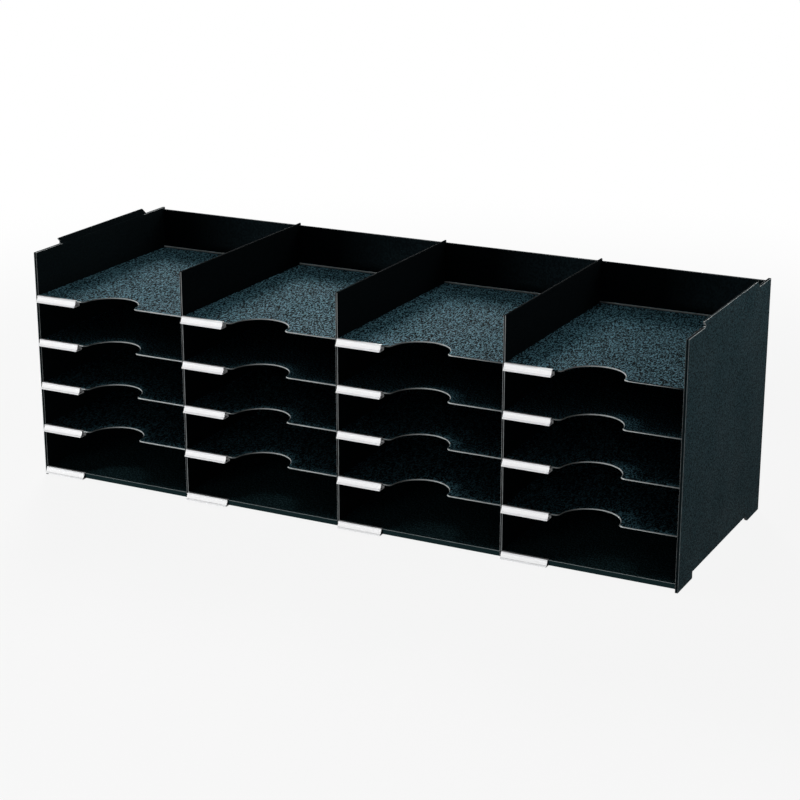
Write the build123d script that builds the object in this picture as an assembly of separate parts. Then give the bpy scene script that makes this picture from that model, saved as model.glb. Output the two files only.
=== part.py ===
from build123d import *
import math
import os

# A free-standing document sorter for A4 sheets: columns of fixed shelves between upright panels.
# Millimetres, +Z up, +X to the right, the open front looks along -Y.
# The origin is on the desk, under the middle of the whole sorter.

# Overall size
overall_width = 892.0
panel_depth = 304.0
panel_top = 305.0
columns = 4
levels = 5

# Side panels: feet below, a stacking tongue above
side_thickness = 4.0
front_foot = 50.0
back_foot = 44.5
recess_height = 8.5
recess_ramp = 10.0
stack_gap = 1.0
tongue_headroom = 0.5
tongue_thickness = 2.4
tongue_undercut = 8.0
tongue_root = 2.0
tongue_round = 0.8
side_round = 0.7

# Dividers between the columns
divider_thickness = 3.0
divider_round = 1.1

# Grooves in the panels that take the tongues of the shelves and of the back panels
groove_depth = 0.8
groove_setback = 4.0
fit_clearance = 0.1

# Shelves
shelf_thickness = 2.2
shelf_pitch = 59.0
shelf_round = 0.9
stop_height = 2.5
stop_thickness = 2.0
stop_round = 0.8

# Finger notch in the front edge of every shelf above the base tray
notch_width = 86.0
notch_depth = 39.5
notch_corner = 6.0

# Base trays: the lowest shelf of a column, with a lip along its front
base_top = 11.5
lip_depth = 7.0

# Back panels
back_thickness = 2.2
back_inset = 2.0
back_drop = 2.5
back_round = 0.7

# Label clips: an extruded strip that grips the front edge of a shelf
clip_length = 60.0
clip_wall = 0.6
clip_tilt = 28.0
clip_jaw = 1.4
clip_leg = 6.0
clip_lip_cover = 1.0

# Label cards
card_thickness = 0.4
card_clearance = 0.2

# Cuts run past the faces that they open by this much
overrun = 1.0

# Places worked out from the sizes above
clear_width = (overall_width - 2 * side_thickness - (columns - 1) * divider_thickness) / columns
column_step = clear_width + divider_thickness
lip_bottom = base_top - lip_depth
back_top = panel_top - back_drop
back_rear = panel_depth - back_inset
back_front = back_rear - back_thickness
shelf_rear = back_front - fit_clearance
tongue_reach = groove_depth - fit_clearance

# The clip's section, along the middle of its wall, with depth from the shelf's front and height from its top
clip_sine = math.sin(math.radians(clip_tilt))
clip_cosine = math.cos(math.radians(clip_tilt))
clip_tangent = clip_sine / clip_cosine
jaw_height = fit_clearance + clip_wall / 2
leg_height = -lip_depth - fit_clearance - clip_wall / 2
face_top_depth = -fit_clearance - clip_wall / 2
face_foot_depth = face_top_depth - (jaw_height - leg_height) * clip_tangent
card_slot = card_thickness + 2 * card_clearance
lip_offset = clip_wall + card_slot
lip_length = clip_wall + card_clearance + clip_lip_cover
card_room = jaw_height - leg_height - clip_wall - 2 * card_clearance
card_height = (card_room - card_thickness * clip_sine) / clip_cosine

# The tilted clips stand proud of the front, so the panels are set back by half of that
lip_front = lip_offset + clip_wall / 2
clip_reach = -face_foot_depth + clip_wall / 2 * clip_tangent + lip_front / clip_cosine
front_y = (clip_reach - panel_depth) / 2


def column_left(column):
    """Place along X of the left wall of a column, counted from 0 at the left."""
    return column * column_step + side_thickness - overall_width / 2


def shelf_top(level):
    """Height of the upper face of a shelf, counted from 0 at the base tray."""
    return base_top + level * shelf_pitch


def block(x_span, y_span, z_span):
    """A box between two places on each axis."""
    size = [span[1] - span[0] for span in (x_span, y_span, z_span)]
    middle = [(span[1] + span[0]) / 2 for span in (x_span, y_span, z_span)]
    return Pos(*middle) * Box(*size)


def upright(outline, x_span):
    """A plate with a side-view outline, drawn with depth from the front and height."""
    sheet = Plane.YZ.offset(x_span[0]) * outline
    return extrude(sheet, amount=x_span[1] - x_span[0])


def side_outline(top_run):
    """The side panel's outline: two feet, the ramped recess between them, and a top run of edges."""
    recess_back = panel_depth - back_foot
    below = Polyline(
        (0, panel_top),
        (0, 0),
        (front_foot, 0),
        (front_foot, recess_height),
        (recess_back - recess_ramp, recess_height),
        (recess_back, 0),
        (panel_depth, 0),
        (panel_depth, panel_top),
    )
    return make_face((below + top_run).edges())


def tongue_run():
    """The top edge with the stacking tongue, which fits the recess of a sorter stacked on this one."""
    tongue_height = recess_height - tongue_headroom
    start = front_foot + stack_gap
    end = panel_depth - back_foot - stack_gap
    end_top = end - recess_ramp * tongue_height / recess_height
    raised = panel_top + tongue_height
    return FilletPolyline(
        (0, panel_top),
        (start + tongue_undercut, panel_top),
        (start, raised),
        (end_top, raised),
        (end, panel_top),
        (panel_depth, panel_top),
        radius=(tongue_root, tongue_round, tongue_round, tongue_round),
    )


def grooves(wall_x, inward):
    """The cuts in one face of a panel: a stopped groove for each shelf and one for the back panel."""
    deep = wall_x - inward * groove_depth
    mouth = wall_x + inward * overrun
    x_span = sorted((deep, mouth))
    cuts = []
    for level in range(levels):
        top = shelf_top(level)
        z_span = (top - shelf_thickness - fit_clearance, top + fit_clearance)
        cuts.append(block(x_span, (groove_setback, back_front), z_span))
    y_span = (back_front - fit_clearance, back_rear + fit_clearance)
    cuts.append(block(x_span, y_span, (lip_bottom - fit_clearance, back_top + fit_clearance)))
    return cuts


def left_side_panel():
    """The left side panel, with its outer face on the left and its grooves on the right."""
    outer = -overall_width / 2
    step = outer + tongue_thickness
    inner = outer + side_thickness
    straight = Line((0, panel_top), (panel_depth, panel_top))
    panel = upright(side_outline(tongue_run()), (outer, step))
    panel += upright(side_outline(straight), (step, inner))
    big_faces = panel.faces().filter_by(Axis.X).sort_by(Axis.X)
    rims = big_faces[0].edges() + big_faces[-1].edges()
    panel = fillet(rims, side_round)
    return panel - grooves(inner, 1)


def divider(number):
    """One upright between two columns, grooved on both faces."""
    right = column_left(number)
    left = right - divider_thickness
    plate = block((left, right), (0, panel_depth), (lip_bottom, panel_top))
    rims = [edge for face in plate.faces().filter_by(Axis.X) for edge in face.edges()]
    plate = fillet(rims, divider_round)
    return plate - grooves(left, -1) - grooves(right, 1)


def notch_outline():
    """The finger notch: one round bay, with a rounded corner on each side of its mouth."""
    half = notch_width / 2
    radius = (half**2 + notch_depth**2 - 2 * notch_depth * notch_corner) / (2 * notch_depth)
    centre = notch_depth - radius
    lean = math.degrees(math.atan2(centre - notch_corner, half))
    left = CenterArc((-half, notch_corner), notch_corner, -90, 90 + lean)
    bay = CenterArc((0, centre), radius, 180 + lean, -180 - 2 * lean)
    right = CenterArc((half, notch_corner), notch_corner, 180 - lean, 90 + lean)
    mouth = Polyline((half, 0), (half, -overrun), (-half, -overrun), (-half, 0))
    return make_face((left + bay + right + mouth).edges())


def shelf_plate(notched):
    """A shelf as a flat plate about the middle of its column, with its upper face at height 0."""
    width = clear_width - 2 * fit_clearance
    tongued = clear_width + 2 * tongue_reach
    tongue_front = groove_setback + fit_clearance
    outline = Pos(0, shelf_rear / 2) * Rectangle(width, shelf_rear)
    outline += Pos(0, (tongue_front + shelf_rear) / 2) * Rectangle(tongued, shelf_rear - tongue_front)
    if notched:
        outline -= notch_outline()
    plate = extrude(Pos(0, 0, -shelf_thickness) * outline, amount=shelf_thickness)
    return plate


def rear_stop():
    """The rounded bead along the rear edge of a shelf that stops the sheets."""
    width = clear_width - 2 * fit_clearance
    bead = block((-width / 2, width / 2), (shelf_rear - stop_thickness, shelf_rear), (0, stop_height))
    rim = bead.edges().filter_by(Axis.X).group_by(Axis.Z)[-1]
    return fillet(rim, stop_round)


def front_edges(plate):
    """The edges along the front of a plate, with those of its notch."""
    straight = plate.edges().filter_by(Axis.X).group_by(Axis.Y)[0]
    return straight + plate.edges().filter_by(GeomType.CIRCLE)


def shelf():
    """A shelf with a finger notch, a rounded front edge and a rear stop."""
    plate = shelf_plate(notched=True)
    return fillet(front_edges(plate), shelf_round) + rear_stop()


def base_tray():
    """The lowest shelf of a column, with a lip that hangs from its front edge."""
    width = clear_width - 2 * fit_clearance
    tray = shelf_plate(notched=False)
    tray += block((-width / 2, width / 2), (0, shelf_thickness), (-lip_depth, 0))
    return fillet(front_edges(tray), shelf_round) + rear_stop()


def back_panel():
    """The back of one column about its middle, tongued into the panels at both sides."""
    width = clear_width + 2 * tongue_reach
    plate = block((-width / 2, width / 2), (back_front, back_rear), (lip_bottom, back_top))
    return fillet(plate.edges().filter_by(Axis.X).group_by(Axis.Z)[-1], back_round)


def clip_section():
    """The clip's section: a tilted face, and a jaw and a leg that run on past it and turn up as lips."""
    rise = (lip_length * clip_sine, lip_length * clip_cosine)
    upper_bend = (face_top_depth - lip_offset / clip_cosine, jaw_height)
    upper_end = (upper_bend[0] - rise[0], upper_bend[1] - rise[1])
    lower_bend = (face_foot_depth - lip_offset / clip_cosine, leg_height)
    lower_end = (lower_bend[0] + rise[0], lower_bend[1] + rise[1])
    web_end = (clip_leg, -shelf_thickness - fit_clearance)
    jaw = Polyline((clip_jaw, jaw_height), upper_bend, upper_end)
    leg = Polyline(web_end, (clip_leg, leg_height), lower_bend, lower_end)
    face = Line((face_top_depth, jaw_height), (face_foot_depth, leg_height))
    return trace(jaw, clip_wall) + trace(leg, clip_wall) + trace(face, clip_wall)


def card_section():
    """The card's section, in the middle of the slot between the clip's face and its lips."""
    face_middle = (face_top_depth + face_foot_depth) / 2
    centre = Pos(face_middle - lip_offset / 2 / clip_cosine, (jaw_height + leg_height) / 2)
    return centre * Rot(0, 0, -clip_tilt) * Rectangle(card_thickness, card_height)


def along_front(section, column, level):
    """A strip with a section, at the left of a shelf's front edge."""
    start = column_left(column) + fit_clearance
    sheet = Plane.YZ.offset(start) * Pos(0, shelf_top(level)) * section
    return extrude(sheet, amount=clip_length)


def save(shape, name):
    """Set a shape back to its place behind the clips and write it under a name."""
    export_step(Pos(0, front_y, 0) * shape, f"parts/{name}.step")


os.makedirs("parts", exist_ok=True)

left_panel = left_side_panel()
save(left_panel, "left_side_panel")
save(mirror(left_panel, about=Plane.YZ), "right_side_panel")
for number in range(1, columns):
    save(divider(number), f"divider_{number}")

plain_tray = base_tray()
plain_shelf = shelf()
plain_back = back_panel()
clip = clip_section()
card = card_section()
for column in range(columns):
    middle = column_left(column) + clear_width / 2
    place = column + 1
    save(Pos(middle, 0, shelf_top(0)) * plain_tray, f"base_tray_{place}")
    save(Pos(middle, 0, 0) * plain_back, f"back_panel_{place}")
    for level in range(1, levels):
        save(Pos(middle, 0, shelf_top(level)) * plain_shelf, f"shelf_{place}_{level}")
    clips = [along_front(clip, column, level) for level in range(levels)]
    save(Compound(clips), f"label_clips_{place}")
    for level in range(levels):
        save(along_front(card, column, level), f"label_card_{place}_{level}")
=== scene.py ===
"""Looks of a four-column document sorter: finishes, shelves, label strips and studio around its frame."""

import logging
import math
from dataclasses import dataclass, field
from enum import Enum
from typing import Sequence, Union

import bpy
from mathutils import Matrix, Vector


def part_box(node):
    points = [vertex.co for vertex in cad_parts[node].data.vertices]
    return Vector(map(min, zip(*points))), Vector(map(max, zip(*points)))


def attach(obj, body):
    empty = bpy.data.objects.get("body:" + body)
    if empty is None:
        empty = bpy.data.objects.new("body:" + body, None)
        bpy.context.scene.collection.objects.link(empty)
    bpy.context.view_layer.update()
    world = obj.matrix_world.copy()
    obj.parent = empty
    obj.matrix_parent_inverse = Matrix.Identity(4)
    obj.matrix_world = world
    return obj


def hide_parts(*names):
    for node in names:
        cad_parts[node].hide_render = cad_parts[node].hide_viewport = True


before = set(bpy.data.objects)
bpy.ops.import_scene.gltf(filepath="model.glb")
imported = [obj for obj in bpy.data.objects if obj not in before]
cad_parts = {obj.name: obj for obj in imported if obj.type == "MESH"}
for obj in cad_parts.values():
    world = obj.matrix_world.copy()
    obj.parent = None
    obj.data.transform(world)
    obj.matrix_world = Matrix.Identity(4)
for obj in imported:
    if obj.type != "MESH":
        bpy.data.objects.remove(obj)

LOG = logging.getLogger("document_sorter")
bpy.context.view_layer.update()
ROOT_BODY = "sorter"
MM = 0.001

Colour = tuple[float, float, float]
Point = tuple[float, float, float]
Span = tuple[float, float]
Socket = bpy.types.NodeSocket
Fed = Union[Socket, float, int, bool, str, Sequence[float], bpy.types.ID]

WHITE: Colour = (1.0, 1.0, 1.0)
WEAR_AND_HIGHLIGHT_MARK = "wear_and_highlight_mark"
NOSE_SEGMENTS = 4

# Parts of a unit normal between which a face comes to count as what the name says
FLAT_TOP: Span = (0.95, 0.99)
ROUNDED: Span = (0.96, 0.86)
ROUNDED_OFF_TOP: Span = (0.99, 0.90)
NOT_UNDER: Span = (-0.3, 0.05)
TOWARDS: Span = (0.25, 0.5)

# Stretches of a noise that are spread over the whole range of what it drives
PATCHY: Span = (0.25, 0.6)
CLOUDY: Span = (0.3, 0.7)
FIBROUS: Span = (0.35, 0.65)


class Board:
    """A hand on a node tree that adds nodes, fills their sockets and wires them."""

    def __init__(self, tree: bpy.types.NodeTree) -> None:
        """Take the tree and clear it."""
        self.tree = tree
        tree.nodes.clear()

    def feed(self, socket: Socket, value: Fed) -> None:
        """Wire a socket to another, or set it to a value.

        Args:
            socket: the input to fill.
            value: an output socket to link, or a plain value.
        """
        if isinstance(value, Socket):
            self.tree.links.new(value, socket)
        else:
            socket.default_value = value

    def add(self, kind: str, inputs: dict | None = None, **settings: object) -> bpy.types.Node:
        """Add a node.

        Args:
            kind: the node's type name.
            inputs: what each input, by name or number, is fed.
            settings: the node's own properties.

        Returns:
            The new node.
        """
        node = self.tree.nodes.new(kind)
        for name, value in settings.items():
            setattr(node, name, value)
        for socket, value in (inputs or {}).items():
            self.feed(node.inputs[socket], value)
        return node

    def sum(self, operation: str, first: Fed, second: Fed = 0.0) -> Socket:
        """Give the output of a Math node on two values."""
        node = self.add("ShaderNodeMath", {0: first, 1: second}, operation=operation)
        return node.outputs[0]

    def ramp(self, value: Fed, low: Fed, high: Fed, start: Fed = 0.0, end: Fed = 1.0) -> Socket:
        """Give a smooth step of a value.

        Args:
            value: what is measured.
            low: the measure at which the step starts.
            high: the measure at which it ends.
            start: the result at the start.
            end: the result at the end.

        Returns:
            The step's output.
        """
        inputs = {"Value": value, "From Min": low, "From Max": high, "To Min": start, "To Max": end}
        return self.add("ShaderNodeMapRange", inputs, interpolation_type="SMOOTHSTEP").outputs[0]

    def blend(self, share: Fed, first: Fed, second: Fed) -> Socket:
        """Give a mix of two colours.

        Args:
            share: how much of the second colour there is, from 0 to 1.
            first: the colour at 0.
            second: the colour at 1.

        Returns:
            The mixed colour.
        """
        node = self.add("ShaderNodeMix", data_type="RGBA")
        self.feed(node.inputs["Factor"], share)
        colours = [socket for socket in node.inputs if socket.type == "RGBA"]
        self.feed(colours[0], first)
        self.feed(colours[1], second)
        return next(socket for socket in node.outputs if socket.type == "RGBA")

    def vector(self, operation: str, first: Fed, second: Fed = (0.0, 0.0, 0.0)) -> Socket:
        """Give the output of a Vector Math node, a number for a length or a dot product."""
        node = self.add("ShaderNodeVectorMath", {0: first, 1: second}, operation=operation)
        return node.outputs["Value" if operation in ("LENGTH", "DOT_PRODUCT") else "Vector"]

    def split(self, place: Fed) -> dict[str, Socket]:
        """Give the three numbers of a place by the names of their axes."""
        return dict(zip("XYZ", self.add("ShaderNodeSeparateXYZ", {0: place}).outputs))

    def own_place(self) -> Socket:
        """Give the surface's own coordinates, in metres."""
        return self.add("ShaderNodeTexCoord").outputs["Object"]

    def normal(self) -> Socket:
        """Give the way that the bare face looks."""
        return self.add("ShaderNodeNewGeometry").outputs["True Normal"]

    def stretched(self, place: Fed, scale: Point) -> Socket:
        """Give a place with each axis scaled."""
        return self.add("ShaderNodeMapping", {"Vector": place, "Scale": scale}).outputs[0]

    def noise(self, place: Fed, scale: float, detail: float) -> Socket:
        """Give a noise, from 0 to 1."""
        inputs = {"Vector": place, "Scale": scale, "Detail": detail}
        return self.add("ShaderNodeTexNoise", inputs).outputs["Fac"]

    def bump(self, height: Fed, depth: float, strength: float = 1.0) -> Socket:
        """Give the normals of a surface that a height lies on."""
        inputs = {"Strength": strength, "Distance": depth, "Height": height}
        return self.add("ShaderNodeBump", inputs).outputs["Normal"]

    def surface(self, inputs: dict[str, Fed]) -> None:
        """End a material with one surface shader."""
        shader = self.add("ShaderNodeBsdfPrincipled", inputs)
        self.add("ShaderNodeOutputMaterial", {"Surface": shader.outputs[0]})


class Recipe(Board):
    """A Geometry Nodes tree with named sizes, and the way to bake what it makes."""

    def __init__(self, name: str) -> None:
        """Start a tree that takes a drawn shape and gives a piece's mesh."""
        super().__init__(bpy.data.node_groups.new(name, "GeometryNodeTree"))
        self.name = name
        for way in ("INPUT", "OUTPUT"):
            self.tree.interface.new_socket("Geometry", in_out=way, socket_type="NodeSocketGeometry")
        self.source = self.add("NodeGroupInput")
        self.values: dict[str, Fed] = {}

    def size(self, name: str, value: Fed) -> Socket:
        """Add a named input.

        Args:
            name: what the input sets.
            value: its value, a number or a place.

        Returns:
            The socket that carries it inside the tree.
        """
        kinds = {int: "NodeSocketInt", float: "NodeSocketFloat", tuple: "NodeSocketVector"}
        socket = self.tree.interface.new_socket(name, in_out="INPUT", socket_type=kinds[type(value)])
        self.values[socket.identifier] = value
        return self.source.outputs[name]

    def place(self, x: Fed = 0.0, y: Fed = 0.0, z: Fed = 0.0) -> Socket:
        """Join three numbers into a place."""
        return self.add("ShaderNodeCombineXYZ", {0: x, 1: y, 2: z}).outputs[0]

    def outline(self) -> Socket:
        """Give the drawn shape as a curve."""
        return self.add("GeometryNodeMeshToCurve", {"Mesh": self.source.outputs["Geometry"]}).outputs[0]

    def filled(self, curve: Socket) -> Socket:
        """Fill a closed curve with one face."""
        return self.add("GeometryNodeFillCurve", {"Curve": curve}, mode="NGONS").outputs[0]

    def lifted(self, shape: Socket, height: Fed) -> Socket:
        """Move a shape along Z."""
        inputs = {"Geometry": shape, "Offset": self.place(z=height)}
        return self.add("GeometryNodeSetPosition", inputs).outputs[0]

    def join(self, first: Socket, second: Socket) -> Socket:
        """Join two shapes into one.

        Args:
            first: the shape whose faces come first.
            second: the other shape.

        Returns:
            Both shapes.
        """
        node = self.add("GeometryNodeJoinGeometry")
        self.feed(node.inputs[0], first)
        self.feed(node.inputs[0], second)
        return node.outputs[0]

    def drawn_out(self, flat: Socket, way: Fed, length: Fed, speck: Fed) -> Socket:
        """Draw a flat shape out into a closed solid.

        Args:
            flat: the shape, which stays as one end.
            way: the direction, as a unit vector.
            length: how far it is drawn.
            speck: corners nearer to each other than this become one.

        Returns:
            The solid.
        """
        inputs = {"Mesh": flat, "Offset": way, "Offset Scale": length, "Individual": False}
        drawn = self.add("GeometryNodeExtrudeMesh", inputs).outputs[0]
        turned = self.add("GeometryNodeFlipFaces", {"Mesh": flat}).outputs[0]
        ends = {"Geometry": self.join(drawn, turned), "Distance": speck}
        return self.add("GeometryNodeMergeByDistance", ends).outputs[0]

    def close(self, geometry: Socket, material: bpy.types.Material) -> None:
        """End the tree: realize what repeats and give it its material.

        Args:
            geometry: the finished geometry.
            material: what all of it is dressed in.
        """
        real = self.add("GeometryNodeRealizeInstances", {"Geometry": geometry}).outputs[0]
        dressed = self.add("GeometryNodeSetMaterial", {"Geometry": real, "Material": material}).outputs[0]
        self.add("NodeGroupOutput", {"Geometry": dressed})

    def bake(self, name: str, drawn: bpy.types.Mesh, rounding: float = 0.0) -> bpy.types.Object:
        """Run the tree on a drawn shape and keep the result as a plain mesh.

        Args:
            name: the piece's name.
            drawn: the shape that the tree starts from.
            rounding: radius of the edges that carry a bevel weight, none at 0.

        Returns:
            The piece, at the origin, with its place in its mesh.
        """
        worked = bpy.data.objects.new(f"{name}_drawn", drawn)
        bpy.context.scene.collection.objects.link(worked)
        nodes = worked.modifiers.new(self.name, "NODES")
        nodes.node_group = self.tree
        for identifier, value in self.values.items():
            nodes[identifier] = value
        if rounding:
            nose = worked.modifiers.new("nose", "BEVEL")
            nose.width = rounding
            nose.segments = NOSE_SEGMENTS
            nose.limit_method = "WEIGHT"
            nose.use_clamp_overlap = False
            shading = worked.modifiers.new("shading", "WEIGHTED_NORMAL")
            shading.keep_sharp = True
        bpy.context.view_layer.update()
        ready = worked.evaluated_get(bpy.context.evaluated_depsgraph_get())
        mesh = bpy.data.meshes.new_from_object(ready)
        mesh.name = name
        worked.modifiers.clear()
        bpy.data.objects.remove(worked)
        piece = bpy.data.objects.new(name, mesh)
        bpy.context.scene.collection.objects.link(piece)
        return piece


def rgba(colour: Colour) -> tuple[float, float, float, float]:
    """Give a colour its full alpha."""
    return (*colour, 1.0)


def new_material(name: str) -> tuple[bpy.types.Material, Board]:
    """Start a material with no nodes.

    Args:
        name: the material's name.

    Returns:
        The material, and the hand on its nodes.
    """
    made = bpy.data.materials.new(name)
    made.use_nodes = True
    return made, Board(made.node_tree)


def loop_mesh(name: str, points: Sequence[Point]) -> bpy.types.Mesh:
    """Draw a closed outline as a mesh of edges.

    Args:
        name: the drawing's name.
        points: the outline's corners, in order.

    Returns:
        The drawing.
    """
    mesh = bpy.data.meshes.new(name)
    count = len(points)
    mesh.from_pydata(points, [(index, (index + 1) % count) for index in range(count)], [])
    return mesh


def arc(centre: Span, radius: float, start: float, sweep: float, steps: int) -> list[Span]:
    """Give points along an arc, both ends among them.

    Args:
        centre: the arc's centre.
        radius: its radius.
        start: the angle at which it starts, in radians.
        sweep: how far it turns, anticlockwise if positive.
        steps: into how many chords it is cut.

    Returns:
        The points, in order.
    """
    angles = [start + sweep * step / steps for step in range(steps + 1)]
    return [(centre[0] + radius * math.cos(a), centre[1] + radius * math.sin(a)) for a in angles]


class Grain(Enum):
    """How a mould was finished: the stretch of a noise that rises from pit to ridge."""

    EMBOSSED = (0.47, 0.61)
    FINE = (0.35, 0.65)


class EdgeWearAndHighlight(Enum):
    """Which rounded edges of a moulding are painted light: a little scuffing, mostly painted highlight."""

    FRONT = "front"
    FRONT_AND_TOP = "front and top"
    MARKED = "marked by the attribute rub"


@dataclass(frozen=True)
class Plastic:
    """Black moulded plastic with a grain from its mould, and rounded edges painted light: a little
    scuffing, mostly painted highlight.

    The pits and ridges of the grain have a colour and a span of roughness each. Between the two depths
    and the two heights that are given as spared, edges get no painted highlight and stay dark. Faces
    that look out along the axis of outward have outer colours of their own, lighter than the rest:
    painted light on the outside faces against painted shade on the inside ones.
    """

    name: str
    slot: str
    grain: Grain
    grain_size: Point
    grain_depth: float
    colour: Colour
    ridge_colour: Colour
    specular: float
    roughness: tuple[Span, Span]
    edge_wear_and_highlight: EdgeWearAndHighlight = EdgeWearAndHighlight.FRONT
    wear_and_highlight_colour: Colour = (0.20, 0.225, 0.23)
    sheen_tint: Colour = (0.42, 0.82, 1.0)
    edge_roughness: float = 0.34
    wear_and_highlight_strength: float = 0.8
    patch_scale: float = 90.0
    patch_share: float = 0.7
    cloud_scale: float = 14.0
    front_share: float = 1.0
    unworn_unhighlit: tuple[Span, Span] | None = None
    # Axis, reach and lighter colours of the outside faces: painted light, against painted shade on the
    # inside.
    outward: Point = (0.0, 0.0, 0.0)
    outer_reach: float = 50.0 * MM
    outer_lit_colour: Colour = (0.0, 0.0, 0.0)
    outer_lit_ridge: Colour = (0.0, 0.0, 0.0)

    def height(self, board: Board, place: Fed) -> Socket:
        """Lay the grain's height, embossed only on the flat tops.

        Args:
            board: the material's nodes.
            place: the surface's own coordinates.

        Returns:
            The height, from 0 in a pit to 1 on a ridge.
        """
        pitch = tuple(1.0 / size for size in self.grain_size)
        worms = board.noise(board.stretched(place, pitch), scale=1.0, detail=1.0)
        ridges = board.ramp(worms, *self.grain.value)
        if self.grain is Grain.FINE:
            return ridges
        up = board.split(board.normal())["Z"]
        return board.sum("MULTIPLY", ridges, board.ramp(up, *FLAT_TOP))

    def wear_and_highlight(self, board: Board, place: Fed) -> Socket:
        """Find the edges that are painted light, mostly painted highlight with a little scuffing: rounded
        faces, which look along no axis of the sorter, or marked ones, kept to the sides that the light
        falls on.

        Args:
            board: the material's nodes.
            place: the surface's own coordinates.

        Returns:
            The share of painted highlight and scuffing, from 0 on a face to 1 on an edge.
        """
        parts = board.split(board.normal())
        if self.edge_wear_and_highlight is EdgeWearAndHighlight.MARKED:
            # Marked rounded edges take the painted highlight, except on the undersides, where no light
            # falls.
            edge = board.ramp(board.sum("ABSOLUTE", parts["Z"]), *ROUNDED_OFF_TOP)
            marks = board.add("ShaderNodeAttribute", attribute_name=WEAR_AND_HIGHLIGHT_MARK).outputs["Fac"]
            side = board.sum("MULTIPLY", marks, board.ramp(parts["Z"], *NOT_UNDER))
        else:
            # Rounded edges that face the front, and with FRONT_AND_TOP also those facing up, take the
            # painted highlight where the lamps light them.
            across, along, up = (board.sum("ABSOLUTE", part) for part in parts.values())
            most = board.sum("MAXIMUM", board.sum("MAXIMUM", across, along), up)
            edge = board.ramp(most, *ROUNDED)
            front = board.sum("MULTIPLY", parts["Y"], -1.0)
            side = board.ramp(front, *TOWARDS, 0.0, self.front_share)
        if self.edge_wear_and_highlight is EdgeWearAndHighlight.FRONT_AND_TOP:
            side = board.sum("MAXIMUM", side, board.ramp(parts["Z"], *TOWARDS))
        patches = board.noise(place, scale=self.patch_scale, detail=3.0)
        spread = board.ramp(patches, *PATCHY, self.patch_share * self.wear_and_highlight_strength, self.wear_and_highlight_strength)
        worn_and_highlit = board.sum("MULTIPLY", board.sum("MULTIPLY", edge, side), spread)
        if self.unworn_unhighlit:
            spared = self.stretch(board, place, *self.unworn_unhighlit)
            worn_and_highlit = board.sum("MULTIPLY", worn_and_highlit, board.sum("SUBTRACT", 1.0, spared))
        return worn_and_highlit

    def stretch(self, board: Board, place: Fed, along: Span, up: Span) -> Socket:
        """Find what lies between two depths and two heights.

        Args:
            board: the material's nodes.
            place: the surface's own coordinates.
            along: the depths, along Y.
            up: the heights, along Z.

        Returns:
            1 between them and 0 elsewhere.
        """
        spot = board.split(place)
        inside: Fed = 1.0
        for axis, (low, high) in (("Y", along), ("Z", up)):
            inside = board.sum("MULTIPLY", inside, board.sum("GREATER_THAN", spot[axis], low))
            inside = board.sum("MULTIPLY", inside, board.sum("LESS_THAN", spot[axis], high))
        return inside

    def body(self, board: Board, place: Fed, height: Fed) -> Socket:
        """Colour the plastic by its grain. Where an outward axis is given, the faces that look away from
        the sorter get lighter colours, painted light, and the rest keep the dark ones, painted shade.

        Args:
            board: the material's nodes.
            place: the surface's own coordinates.
            height: the grain's height.

        Returns:
            The colour.
        """
        inner = board.blend(height, rgba(self.colour), rgba(self.ridge_colour))
        if not any(self.outward):
            return inner
        # A lighter copy of the colours for the outside faces: painted light against the painted shade
        # inside.
        outer = board.blend(height, rgba(self.outer_lit_colour), rgba(self.outer_lit_ridge))
        kept = board.vector("MULTIPLY", board.normal(), self.outward)
        away = board.vector("DOT_PRODUCT", kept, place)
        return board.blend(board.ramp(away, 0.0, self.outer_reach), inner, outer)

    def material(self) -> bpy.types.Material:
        """Build the finish's material.

        Returns:
            The material.
        """
        made, board = new_material(self.name)
        place = board.own_place()
        height = self.height(board, place)
        clouds = board.noise(place, scale=self.cloud_scale, detail=4.0)
        # Rounded edges are painted light: mostly painted highlight, a little scuffing, blended over the
        # body colour.
        wear_and_highlight = self.wear_and_highlight(board, place)
        body = self.body(board, place, height)
        pit, ridge = (board.ramp(clouds, *CLOUDY, *limits) for limits in self.roughness)
        matt = board.ramp(height, 0.0, 1.0, pit, ridge)
        board.surface(
            {
                "Base Color": board.blend(wear_and_highlight, body, rgba(self.wear_and_highlight_colour)),
                "Roughness": board.ramp(wear_and_highlight, 0.0, 1.0, matt, self.edge_roughness),
                "Normal": board.bump(height, self.grain_depth),
                "Specular IOR Level": self.specular,
                "Specular Tint": rgba(self.sheen_tint),
            }
        )
        return made


@dataclass(frozen=True)
class ClipPlastic:
    """White extruded plastic of the label clips, with the faint draw lines of an extrusion along X."""

    name: str = "clip_plastic"
    slot: str = "clip_plastic"
    colour: Colour = (0.80, 0.80, 0.81)
    shade: Colour = (0.66, 0.67, 0.68)
    roughness: Span = (0.22, 0.36)
    specular: float = 0.5
    lines_per_metre: Point = (12.0, 1400.0, 1400.0)
    line_depth: float = 0.02 * MM
    line_strength: float = 0.6

    def material(self) -> bpy.types.Material:
        """Build the finish's material.

        Returns:
            The material.
        """
        made, board = new_material(self.name)
        drawn = board.stretched(board.own_place(), self.lines_per_metre)
        lines = board.noise(drawn, scale=1.0, detail=2.0)
        board.surface(
            {
                "Base Color": board.blend(lines, rgba(self.shade), rgba(self.colour)),
                "Roughness": board.ramp(lines, *CLOUDY, *self.roughness),
                "Normal": board.bump(lines, self.line_depth, self.line_strength),
                "Specular IOR Level": self.specular,
            }
        )
        return made


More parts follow.
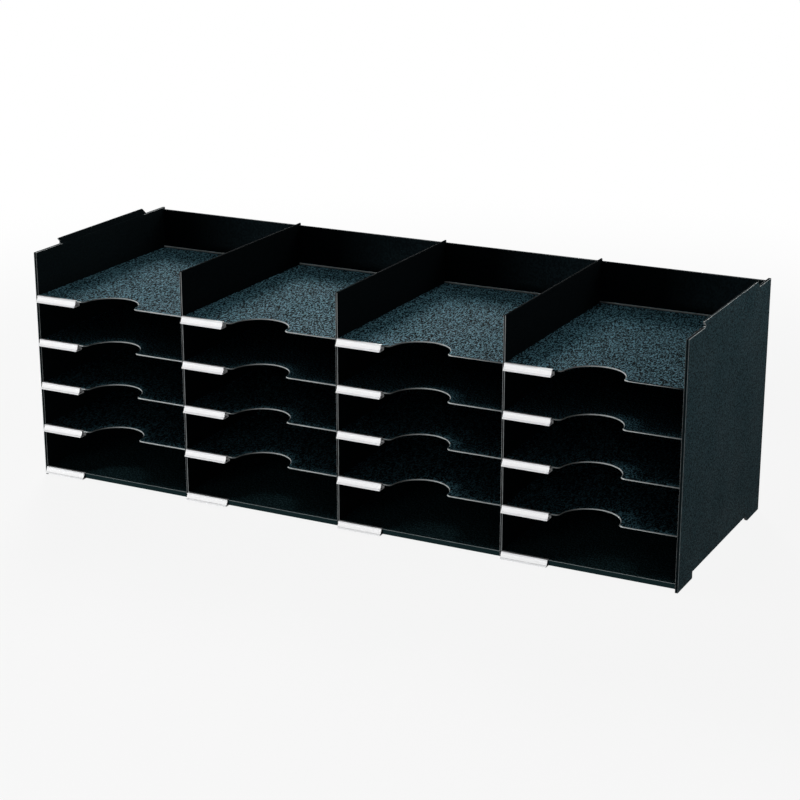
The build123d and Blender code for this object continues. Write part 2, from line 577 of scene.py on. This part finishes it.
@dataclass(frozen=True)
class CardPaper:
    """White label card with fine fibres, longest along X."""

    name: str = "label_card"
    slot: str = "label_card"
    colour: Colour = (0.90, 0.90, 0.90)
    fibre: Colour = (0.84, 0.84, 0.85)
    roughness: Span = (0.62, 0.78)
    specular: float = 0.3
    fibres_per_metre: Point = (500.0, 1600.0, 1600.0)
    fibre_depth: float = 0.03 * MM
    fibre_strength: float = 0.5

    def material(self) -> bpy.types.Material:
        """Build the finish's material.

        Returns:
            The material.
        """
        made, board = new_material(self.name)
        long = board.stretched(board.own_place(), self.fibres_per_metre)
        fibres = board.noise(long, scale=1.0, detail=3.0)
        shown = board.ramp(fibres, *FIBROUS)
        board.surface(
            {
                "Base Color": board.blend(shown, rgba(self.fibre), rgba(self.colour)),
                "Roughness": board.ramp(fibres, *CLOUDY, *self.roughness),
                "Normal": board.bump(fibres, self.fibre_depth, self.fibre_strength),
                "Specular IOR Level": self.specular,
            }
        )
        return made


PANEL = Plastic(
    name="panel_plastic",
    slot="panel_plastic",
    grain=Grain.FINE,
    # Nearly black inside faces are painted shade. The lighter outside colours below are painted light.
    colour=(0.0008, 0.0014, 0.0016),
    ridge_colour=(0.0016, 0.0030, 0.0034),
    # Front and top edges painted light, the top ones most: mostly painted highlight with a little
    # scuffing, none on the spared stretch at the front of the top.
    edge_wear_and_highlight=EdgeWearAndHighlight.FRONT_AND_TOP,
    wear_and_highlight_colour=(0.58, 0.61, 0.61),
    front_share=0.35,
    unworn_unhighlit=((-90.0 * MM, 101.0 * MM), (298.0 * MM, 307.0 * MM)),
    specular=0.03,
    roughness=((0.74, 0.80), (0.66, 0.74)),
    grain_size=(1.6 * MM, 2.4 * MM, 1.8 * MM),
    grain_depth=0.12 * MM,
    outward=(1.0, 0.0, 0.0),
    outer_lit_colour=(0.0006, 0.0032, 0.0044),
    outer_lit_ridge=(0.0135, 0.034, 0.041),
)
DIVIDER = Plastic(
    name="divider_plastic",
    slot="panel_plastic",
    grain=Grain.FINE,
    # Nearly black like the panels' inside faces: painted shade in the bays. Front edges painted light,
    # mostly painted highlight.
    colour=(0.0006, 0.0010, 0.0012),
    ridge_colour=(0.0012, 0.0020, 0.0024),
    specular=0.006,
    roughness=((0.70, 0.78), (0.62, 0.70)),
    grain_size=(1.6 * MM, 1.6 * MM, 1.6 * MM),
    grain_depth=0.05 * MM,
    wear_and_highlight_colour=(0.32, 0.34, 0.345),
    wear_and_highlight_strength=0.95,
)
SHELF = Plastic(
    name="shelf_plastic",
    slot="shelf_plastic",
    grain=Grain.EMBOSSED,
    colour=(0.0012, 0.0028, 0.0034),
    # Light teal ridges on the flat tops: partly the grain's tone, partly painted sheen, the bright
    # backdrop's reflection given as colour.
    ridge_colour=(0.101, 0.240, 0.302),
    edge_wear_and_highlight=EdgeWearAndHighlight.MARKED,
    wear_and_highlight_colour=(0.62, 0.66, 0.66),
    specular=0.012,
    roughness=((0.72, 0.80), (0.44, 0.52)),
    grain_size=(1.45 * MM, 3.6 * MM, 1.45 * MM),
    grain_depth=0.30 * MM,
)
# The shelves' grain in a much darker copy for the base trays: painted shade under the shelves.
SHADED_TRAY = Plastic(
    name="tray_plastic_in_painted_shade",
    slot="shelf_plastic",
    grain=Grain.EMBOSSED,
    colour=(0.0055, 0.0135, 0.0145),
    ridge_colour=(0.030, 0.068, 0.080),
    specular=0.012,
    roughness=((0.72, 0.80), (0.44, 0.52)),
    grain_size=(1.45 * MM, 3.6 * MM, 1.45 * MM),
    grain_depth=0.30 * MM,
    wear_and_highlight_strength=0.9,
)
BACK = Plastic(
    name="back_plastic",
    slot="back_plastic",
    grain=Grain.FINE,
    colour=(0.0006, 0.0010, 0.0012),
    ridge_colour=(0.0012, 0.0022, 0.0026),
    specular=0.02,
    roughness=((0.62, 0.70), (0.50, 0.58)),
    grain_size=(2.2 * MM, 2.2 * MM, 2.6 * MM),
    grain_depth=0.10 * MM,
    # Rear faces painted lighter than the nearly black faces in the bays: painted light and painted shade.
    outward=(0.0, 1.0, 0.0),
    outer_lit_colour=(0.004, 0.009, 0.011),
    outer_lit_ridge=(0.024, 0.037, 0.043),
)


def dress(nodes: Sequence[str], finish: Plastic) -> None:
    """Give carried-over CAD nodes a finish.

    Args:
        nodes: the nodes' names.
        finish: the finish that they get.
    """
    material = finish.material()
    for name in nodes:
        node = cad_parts[name]
        node.data.materials.clear()
        node.data.materials.append(material)
        LOG.info("%s dressed in %s", name, finish.name)


@dataclass
class Layout:
    """Where the columns and levels of the sorter stand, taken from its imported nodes."""

    columns: int = 4
    levels: int = 5
    shelf_thickness: float = 2.2 * MM
    fit: float = 0.1 * MM
    step: float = field(init=False)
    pitch: float = field(init=False)
    first_middle: float = field(init=False)
    front: float = field(init=False)
    rear: float = field(init=False)
    first_top: float = field(init=False)
    tongued_width: float = field(init=False)
    first_left: float = field(init=False)

    def __post_init__(self) -> None:
        """Read the places of the shelves and clips."""
        low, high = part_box("shelf_1_1")
        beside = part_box("shelf_2_1")[0]
        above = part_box("shelf_1_2")[0]
        self.step = beside[0] - low[0]
        self.pitch = above[2] - low[2]
        self.first_middle = (low[0] + high[0]) / 2
        self.front, self.rear = low[1], high[1]
        self.first_top = low[2] + self.shelf_thickness
        self.tongued_width = high[0] - low[0]
        self.first_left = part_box("label_clips_1")[0][0]

    def middle(self, x: float) -> float:
        """Give the middle of the column that a place along X lies in."""
        column = round((x - self.first_middle) / self.step)
        return self.first_middle + column * self.step


def grid_of(
    recipe: Recipe, shape: Socket, columns: Fed, rows: Fed, step: Fed, pitch: Fed, first: Fed
) -> Socket:
    """Repeat a shape over columns and rows.

    Args:
        recipe: the tree that it is added to.
        shape: what is repeated.
        columns: how many columns there are.
        rows: how many rows there are.
        step: the distance between columns.
        pitch: the distance between rows.
        first: the place of the lowest one in the left column.

    Returns:
        The instances.
    """
    index = recipe.add("GeometryNodeInputIndex").outputs[0]
    column = recipe.sum("MODULO", index, columns)
    # Half a place more keeps the quotient clear of rounding at a whole number
    row = recipe.sum("FLOOR", recipe.sum("DIVIDE", recipe.sum("ADD", index, 0.5), columns))
    offset = recipe.place(recipe.sum("MULTIPLY", column, step), 0.0, recipe.sum("MULTIPLY", row, pitch))
    spot = recipe.vector("ADD", offset, first)
    count = recipe.sum("MULTIPLY", columns, rows)
    points = recipe.add("GeometryNodePoints", {"Count": count, "Position": spot}).outputs[0]
    placed = recipe.add("GeometryNodeInstanceOnPoints", {"Points": points, "Instance": shape})
    return placed.outputs[0]


@dataclass
class Carcass:
    """The black mouldings that are kept from the frame: panels, dividers, base trays and backs."""

    layout: Layout

    def build(self) -> None:
        """Dress every moulding."""
        places = range(1, self.layout.columns + 1)
        dress(["left_side_panel", "right_side_panel"], PANEL)
        dress([f"divider_{place}" for place in places[:-1]], DIVIDER)
        dress([f"base_tray_{place}" for place in places], SHADED_TRAY)
        dress([f"back_panel_{place}" for place in places], BACK)


@dataclass
class Shelves:
    """The notched shelves above the base trays, with a round nose and a bead along the rear edge."""

    layout: Layout
    nose: float = 0.9 * MM
    setback: float = 4.1 * MM
    tongue: float = 0.8 * MM
    notch_width: float = 86.0 * MM
    notch_depth: float = 39.5 * MM
    notch_corner: float = 6.0 * MM
    stop_height: float = 2.5 * MM
    stop_thickness: float = 2.0 * MM
    stop_round: float = 0.8 * MM
    stop_sink: float = 0.2 * MM
    corner_steps: int = 8
    bay_steps: int = 48
    speck: float = 0.01 * MM
    bare_weight: float = 0.01
    # Shares of the edges' painted light: the rear bead's and the straight fronts' are painted highlight,
    # the notch's is scuffing and painted highlight.
    rear_highlight: float = 0.95
    notch_wear_and_highlight: float = 0.60
    notch_highlight_lean: float = 0.40
    front_wear_and_highlight: float = 0.20
    left_highlight_more: float = 0.60

    def outline(self) -> list[Point]:
        """Draw a shelf from above, about the middle of its front: the notch, then round by the right.

        Returns:
            The outline's corners, in order.
        """
        half, deep, corner = self.notch_width / 2, self.notch_depth, self.notch_corner
        radius = (half**2 + deep**2 - 2 * deep * corner) / (2 * deep)
        centre = deep - radius
        lean = math.atan2(centre - corner, half)
        quarter = math.pi / 2
        notch = arc((-half, corner), corner, -quarter, quarter + lean, self.corner_steps)
        notch += arc((0.0, centre), radius, math.pi + lean, -math.pi - 2 * lean, self.bay_steps)[1:-1]
        notch += arc((half, corner), corner, math.pi - lean, quarter + lean, self.corner_steps)
        wide = self.layout.tongued_width / 2
        narrow = wide - self.tongue
        long = self.layout.rear - self.layout.front
        right = [(narrow, 0.0), (narrow, self.setback), (wide, self.setback), (wide, long)]
        left = [(-x, y) for x, y in reversed(right)]
        return [(x, y, 0.0) for x, y in notch + right + left]

    def recipe(self, material: bpy.types.Material) -> Recipe:
        """Build the tree that thickens the outline, adds the bead and repeats the shelf.

        Args:
            material: the shelves' plastic.

        Returns:
            The tree, with its sizes set.
        """
        lay = self.layout
        made = Recipe("notched_shelves")
        thickness = made.size("Thickness", lay.shelf_thickness)
        long = made.size("Depth", lay.rear - lay.front)
        width = made.size("Width", lay.tongued_width - 2 * self.tongue)
        notch_depth = made.size("Notch Depth", self.notch_depth)
        stop_height = made.size("Stop Height", self.stop_height)
        stop_thickness = made.size("Stop Thickness", self.stop_thickness)
        stop_share = made.size("Stop Round Share", self.stop_round / self.nose)
        columns = made.size("Columns", lay.columns)
        rows = made.size("Rows", lay.levels - 1)
        step = made.size("Column Step", lay.step)
        pitch = made.size("Row Pitch", lay.pitch)
        first = made.size("First", (lay.first_middle, lay.front, lay.first_top))
        speck = made.size("Speck", self.speck)

        below = made.sum("MULTIPLY", thickness, -1.0)
        under = made.lifted(made.filled(made.outline()), below)
        plate = made.drawn_out(under, made.place(z=1.0), thickness, speck)

        sunk = made.sum("ADD", stop_height, self.stop_sink)
        block = made.place(width, stop_thickness, sunk)
        bead = made.add("GeometryNodeMeshCube", {"Size": block}).outputs[0]
        bead_y = made.sum("SUBTRACT", long, made.sum("DIVIDE", stop_thickness, 2.0))
        bead_z = made.sum("SUBTRACT", stop_height, made.sum("DIVIDE", sunk, 2.0))
        bead = made.add(
            "GeometryNodeTransform", {"Geometry": bead, "Translation": made.place(0.0, bead_y, bead_z)}
        ).outputs[0]

        spot = made.split(made.add("GeometryNodeInputPosition").outputs[0])
        inside = made.sum("SUBTRACT", made.sum("DIVIDE", width, 2.0), speck)
        within = made.sum("LESS_THAN", made.sum("ABSOLUTE", spot["X"]), inside)
        ahead = made.sum("LESS_THAN", spot["Y"], made.sum("ADD", notch_depth, speck))
        middle = made.sum("ADD", spot["Z"], made.sum("DIVIDE", thickness, 2.0))
        outside = made.sum("SUBTRACT", made.sum("DIVIDE", thickness, 2.0), speck)
        level = made.sum("GREATER_THAN", made.sum("ABSOLUTE", middle), outside)
        round_front = made.sum("MULTIPLY", made.sum("MULTIPLY", within, ahead), level)
        top = made.sum("GREATER_THAN", spot["Z"], made.sum("SUBTRACT", stop_height, speck))
        round_top = made.sum("MULTIPLY", made.sum("MULTIPLY", within, top), stop_share)
        plate = self.weighted(made, plate, round_front)
        bead = self.weighted(made, bead, round_top)
        shelf = made.join(plate, bead)
        made.close(grid_of(made, shelf, columns, rows, step, pitch, first), material)
        return made

    def weighted(self, made: Recipe, mesh: Socket, weight: Socket) -> Socket:
        """Mark which edges are rounded, and keep the others sharp.

        Args:
            made: the tree.
            mesh: the mesh whose edges are marked.
            weight: the share of the nose radius that each edge gets.

        Returns:
            The marked mesh.
        """
        stored = made.add(
            "GeometryNodeStoreNamedAttribute",
            {"Geometry": mesh, "Name": "bevel_weight_edge", "Value": weight},
            data_type="FLOAT",
            domain="EDGE",
        ).outputs[0]
        smooth = made.add(
            "GeometryNodeSetShadeSmooth", {"Geometry": stored, "Shade Smooth": True}
        ).outputs[0]
        bare = made.sum("LESS_THAN", weight, self.bare_weight)
        return made.add(
            "GeometryNodeSetShadeSmooth",
            {"Geometry": smooth, "Selection": bare, "Shade Smooth": False},
            domain="EDGE",
        ).outputs[0]

    def mark_wear_and_highlights(self, mesh: bpy.types.Mesh) -> None:
        """Store how light the edges are painted: the rear bead, the notch and the straight front.

        The rear bead's line is a painted highlight. The notch is partly scuffed by fingers and partly
        painted highlight, lightest at its right end, which faces the light. The straight front is painted
        lighter in the left columns, and least of all on the top shelf at the right: painted light and
        shade across the sorter.

        Args:
            mesh: the shelves' mesh.
        """
        marks = mesh.attributes.new(WEAR_AND_HIGHLIGHT_MARK, "FLOAT", "POINT").data
        lay = self.layout
        half = self.notch_width / 2
        for mark, vertex in zip(marks, mesh.vertices):
            middle = lay.middle(vertex.co.x)
            across = (vertex.co.x - middle) / half
            right = (middle - lay.first_middle) / (lay.step * (lay.columns - 1))
            rise = (vertex.co.z - lay.first_top + lay.pitch / 2) % lay.pitch - lay.pitch / 2
            # The rear bead's top line: painted highlight.
            if vertex.co.y - lay.front > 2 * self.notch_depth:
                mark.value = self.rear_highlight if rise > self.stop_height / 2 else 0.0
            # Notch edges: finger scuffing and painted highlight, lighter towards the right end, which
            # faces the light.
            elif abs(across) < 1.0:
                mark.value = self.notch_wear_and_highlight + self.notch_highlight_lean * across
            else:
                level = round((vertex.co.z - lay.first_top) / lay.pitch)
                # The top shelf's straight front gets darker towards the right column: painted shade.
                kept = 1.0 - right if level == lay.levels - 2 else 1.0
                # Straight fronts painted lighter in the left columns: painted highlight where the light
                # falls.
                mark.value = (self.front_wear_and_highlight + self.left_highlight_more * (1.0 - right)) * kept

    def build(self) -> None:
        """Make the shelves as one piece, in place of their nodes."""
        made = self.recipe(SHELF.material())
        shelves = made.bake("shelves", loop_mesh("shelf_outline", self.outline()), self.nose)
        self.mark_wear_and_highlights(shelves.data)
        lay = self.layout
        nodes = [f"shelf_{c}_{l}" for c in range(1, lay.columns + 1) for l in range(1, lay.levels)]
        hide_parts(*nodes)
        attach(shelves, ROOT_BODY)
        LOG.info("shelves: %d faces", len(shelves.data.polygons))


@dataclass
class Labels:
    """The label clips on the shelf fronts and the white cards in them."""

    layout: Layout
    length: float = 60.0 * MM
    wall: float = 0.6 * MM
    tilt: float = math.radians(28.0)
    jaw: float = 1.4 * MM
    leg: float = 6.0 * MM
    reach_down: float = 7.0 * MM
    lip_cover: float = 1.0 * MM
    card_thickness: float = 0.4 * MM
    card_clearance: float = 0.2 * MM
    clip_round: float = 0.18 * MM
    card_round: float = 0.8 * MM
    clip_steps: int = 2
    card_steps: int = 4
    speck: float = 0.005 * MM
    jaw_height: float = field(init=False)
    leg_height: float = field(init=False)
    lip_offset: float = field(init=False)

    def __post_init__(self) -> None:
        """Work out the heights of the clip's middle line and the place of its lips."""
        self.jaw_height = self.layout.fit + self.wall / 2
        self.leg_height = -self.reach_down - self.layout.fit - self.wall / 2
        self.lip_offset = self.wall + self.card_thickness + 2 * self.card_clearance

    def face(self, out: float, height: float) -> Span:
        """Give a point on a line beside the clip's tilted face.

        Args:
            out: how far the line lies out from the face's middle.
            height: the point's height.

        Returns:
            The point's depth and height.
        """
        top = -self.layout.fit - self.wall / 2
        depth = top - (self.jaw_height - height) * math.tan(self.tilt) - out / math.cos(self.tilt)
        return (depth, height)

    def section(self) -> list[Span]:
        """Draw the clip's section, in depth and height from the top of a shelf's front edge.

        Returns:
            The corners, in order, from the jaw's rear end round by the front.
        """
        half = self.wall / 2
        out = (half * math.cos(self.tilt), half * math.sin(self.tilt))
        run = self.wall + self.card_clearance + self.lip_cover
        slope = (run * math.sin(self.tilt), run * math.cos(self.tilt))
        jaw_top, jaw_under = self.jaw_height + half, self.jaw_height - half
        leg_top, leg_under = self.leg_height + half, self.leg_height - half
        upper = self.face(self.lip_offset, self.jaw_height)
        lower = self.face(self.lip_offset, self.leg_height)
        upper_end = (upper[0] - slope[0], upper[1] - slope[1])
        lower_end = (lower[0] + slope[0], lower[1] + slope[1])
        web_top = -self.layout.shelf_thickness - self.layout.fit
        return [
            (self.jaw, jaw_top),
            self.face(self.lip_offset + half, jaw_top),
            (upper_end[0] - out[0], upper_end[1] + out[1]),
            (upper_end[0] + out[0], upper_end[1] - out[1]),
            self.face(self.lip_offset - half, jaw_under),
            self.face(half, jaw_under),
            self.face(half, leg_top),
            self.face(self.lip_offset - half, leg_top),
            (lower_end[0] + out[0], lower_end[1] - out[1]),
            (lower_end[0] - out[0], lower_end[1] + out[1]),
            self.face(self.lip_offset + half, leg_under),
            (self.leg + half, leg_under),
            (self.leg + half, web_top),
            (self.leg - half, web_top),
            (self.leg - half, leg_top),
            self.face(-half, leg_top),
            self.face(-half, jaw_under),
            (self.jaw, jaw_under),
        ]

    def clip_recipe(self, material: bpy.types.Material) -> Recipe:
        """Build the tree that rounds the section, draws it out along X and repeats the clip.

        Args:
            material: the clips' plastic.

        Returns:
            The tree, with its sizes set.
        """
        lay = self.layout
        made = Recipe("label_clips")
        length = made.size("Length", self.length)
        radius = made.size("Corner Radius", self.clip_round)
        columns = made.size("Columns", lay.columns)
        rows = made.size("Rows", lay.levels)
        step = made.size("Column Step", lay.step)
        pitch = made.size("Row Pitch", lay.pitch)
        first = made.size("First", (lay.first_left, lay.front, lay.first_top - lay.pitch))
        rounded = made.add(
            "GeometryNodeFilletCurve",
            {"Curve": made.outline(), "Radius": radius, "Limit Radius": True, "Count": self.clip_steps},
            mode="POLY",
        ).outputs[0]
        stood = made.add(
            "GeometryNodeTransform",
            {"Geometry": made.filled(rounded), "Rotation": (math.pi / 2, 0.0, math.pi / 2)},
        ).outputs[0]
        clip = made.drawn_out(stood, made.place(x=1.0), length, self.speck)
        made.close(grid_of(made, clip, columns, rows, step, pitch, first), material)
        return made

    def card_recipe(self, material: bpy.types.Material, place: Point, height: float) -> Recipe:
        """Build the tree of one card: a thin sheet with cut corners, leaned into its slot.

        Args:
            material: the cards' paper.
            place: the middle of the card.
            height: the card's height along its slot.

        Returns:
            The tree, with its sizes set.
        """
        made = Recipe("label_card")
        thickness = made.size("Thickness", self.card_thickness)
        middle = made.size("Middle", place)
        lean = made.size("Lean", self.tilt)
        radius = made.size("Corner Radius", self.card_round)
        length = made.size("Length", self.length)
        tall = made.size("Height", height)
        sheet = made.add(
            "GeometryNodeCurvePrimitiveQuadrilateral", {"Width": length, "Height": tall}
        ).outputs[0]
        cut = made.add(
            "GeometryNodeFilletCurve",
            {"Curve": sheet, "Radius": radius, "Count": self.card_steps},
            mode="POLY",
        ).outputs[0]
        under = made.lifted(made.filled(cut), made.sum("DIVIDE", thickness, -2.0))
        card = made.drawn_out(under, made.place(z=1.0), thickness, self.speck)
        upright = made.sum("SUBTRACT", math.pi / 2, lean)
        leaned = made.add(
            "GeometryNodeTransform",
            {"Geometry": card, "Translation": middle, "Rotation": made.place(x=upright)},
        ).outputs[0]
        made.close(leaned, material)
        return made

    def build_clips(self) -> None:
        """Make the clips as one piece, in place of their nodes."""
        finish = ClipPlastic()
        section = [(depth, height, 0.0) for depth, height in self.section()]
        clips = self.clip_recipe(finish.material()).bake("label_clips", loop_mesh("clip_section", section))
        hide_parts(*[f"label_clips_{place}" for place in range(1, self.layout.columns + 1)])
        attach(clips, ROOT_BODY)
        LOG.info("label_clips: %d faces", len(clips.data.polygons))

    def build_cards(self) -> None:
        """Make each card as a piece of its own, because each slides by itself."""
        finish = CardPaper()
        material = finish.material()
        room = self.jaw_height - self.leg_height - self.wall - 2 * self.card_clearance
        height = (room - self.card_thickness * math.sin(self.tilt)) / math.cos(self.tilt)
        for column in range(1, self.layout.columns + 1):
            for level in range(self.layout.levels):
                node = f"label_card_{column}_{level}"
                low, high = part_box(node)
                place = tuple((a + b) / 2 for a, b in zip(low, high))
                recipe = self.card_recipe(material, place, height)
                card = recipe.bake(f"{node}_sheet", bpy.data.meshes.new(node))
                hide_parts(node)
                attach(card, node)
                LOG.info("%s: %d faces", card.name, len(card.data.polygons))

    def build(self) -> None:
        """Make the clips, then the cards."""
        self.build_clips()
        self.build_cards()


@dataclass(frozen=True)
class Lamp:
    """One soft studio lamp: its place, aim and size in metres, and how wide it spreads in degrees."""

    name: str
    place: Point
    width: float
    height: float
    watts: float
    target: Point = (0.0, 0.0, 0.15)
    spread: float = 180.0

    def build(self) -> None:
        """Hang the lamp."""
        data = bpy.data.lights.new(self.name, "AREA")
        data.shape = "RECTANGLE"
        data.size = self.width
        data.size_y = self.height
        data.energy = self.watts
        data.spread = math.radians(self.spread)
        lamp = bpy.data.objects.new(self.name, data)
        bpy.context.scene.collection.objects.link(lamp)
        lamp.location = self.place
        lamp.visible_camera = False
        aim = Vector(self.target) - Vector(self.place)
        lamp.rotation_euler = aim.to_track_quat("-Z", "Y").to_euler()


@dataclass
class Studio:
    """Camera, lamps, world and the plain pale floor, which turns white away from the sorter."""

    camera_place: Point = (1.148, -2.2396, 0.942)
    camera_yaw: float = 26.918
    camera_pitch: float = 17.956
    camera_lens: float = 92.286
    camera_sensor: float = 36.0
    camera_reach: float = 200.0
    floor_size: float = 60.0
    floor_colour: Colour = (0.48, 0.48, 0.48)
    floor_glow: float = 0.9
    floor_white: Span = (0.6, 1.9)
    fill: float = 0.035
    lamps: tuple[Lamp, ...] = (
        Lamp(
            "key",
            (-1.05, 1.55, 1.35),
            width=1.1,
            height=1.1,
            watts=3.8,
            target=(-0.22, 0.0, 0.2),
            spread=30.0,
        ),
        Lamp("top", (-0.2, -0.35, 2.2), width=0.6, height=0.6, watts=6.5),
        Lamp("front", (-2.0, -5.0, 0.12), width=1.6, height=0.16, watts=252.0),
        Lamp("right", (3.5, -3.5, 0.25), width=0.6, height=0.3, watts=36.0),
        Lamp(
            "side",
            (1.6, 0.45, 0.8),
            width=1.0,
            height=0.4,
            watts=1.3,
            target=(0.446, 0.1, 0.50),
            spread=45.0,
        ),
    )

    def camera(self) -> None:
        """Set the camera at the photograph's viewing angle."""
        data = bpy.data.cameras.new("camera")
        data.lens = self.camera_lens
        data.sensor_width = self.camera_sensor
        data.clip_end = self.camera_reach
        camera = bpy.data.objects.new("camera", data)
        bpy.context.scene.collection.objects.link(camera)
        camera.location = self.camera_place
        tip = math.pi / 2 - math.radians(self.camera_pitch)
        camera.rotation_euler = (tip, 0.0, math.radians(self.camera_yaw))
        bpy.context.scene.camera = camera

    def seen(self, board: Board) -> Socket:
        """Tell the rays that show a surface, straight, mirrored or through glass, from the others.

        Args:
            board: the nodes of what is seen.

        Returns:
            1 for those rays and 0 for the others.
        """
        path = board.add("ShaderNodeLightPath").outputs
        shown = board.sum("MAXIMUM", path["Is Camera Ray"], path["Is Glossy Ray"])
        return board.sum("MAXIMUM", shown, path["Is Transmission Ray"])

    def world(self) -> None:
        """Make the world white where it shows, and a soft fill elsewhere."""
        world = bpy.data.worlds.new("studio")
        bpy.context.scene.world = world
        world.use_nodes = True
        board = Board(world.node_tree)
        shown = board.add("ShaderNodeBackground", {"Color": rgba(WHITE), "Strength": 1.0})
        soft = board.add("ShaderNodeBackground", {"Color": rgba(WHITE), "Strength": self.fill})
        mixed = board.add(
            "ShaderNodeMixShader", {0: self.seen(board), 1: soft.outputs[0], 2: shown.outputs[0]}
        )
        board.add("ShaderNodeOutputWorld", {"Surface": mixed.outputs[0]})

    def floor(self) -> None:
        """Lay the floor, with the sorter's shadow on it."""
        half = self.floor_size / 2
        mesh = bpy.data.meshes.new("floor")
        corners = [(-half, -half, 0.0), (half, -half, 0.0), (half, half, 0.0), (-half, half, 0.0)]
        mesh.from_pydata(corners, [], [(0, 1, 2, 3)])
        floor = bpy.data.objects.new("floor", mesh)
        bpy.context.scene.collection.objects.link(floor)
        material, board = new_material("floor")
        paint = board.add("ShaderNodeBsdfDiffuse", {"Color": rgba(self.floor_colour)})
        glow = board.add("ShaderNodeEmission", {"Color": rgba(WHITE), "Strength": 1.0})
        distance = board.vector("LENGTH", board.own_place())
        white = board.ramp(distance, *self.floor_white, self.floor_glow, 1.0)
        share = board.sum("MULTIPLY", self.seen(board), white)
        mixed = board.add("ShaderNodeMixShader", {0: share, 1: paint.outputs[0], 2: glow.outputs[0]})
        board.add("ShaderNodeOutputMaterial", {"Surface": mixed.outputs[0]})
        mesh.materials.append(material)

    def build(self) -> None:
        """Set up the whole studio."""
        self.camera()
        self.world()
        self.floor()
        for lamp in self.lamps:
            lamp.build()
        bpy.context.scene.view_settings.view_transform = "Standard"


def main() -> None:
    """Build the sorter's looks and its studio, in order."""
    logging.basicConfig(level=logging.INFO, format="%(name)s: %(message)s")
    layout = Layout()
    Carcass(layout).build()
    Shelves(layout).build()
    Labels(layout).build()
    Studio().build()


if __name__ == "__main__":
    main()
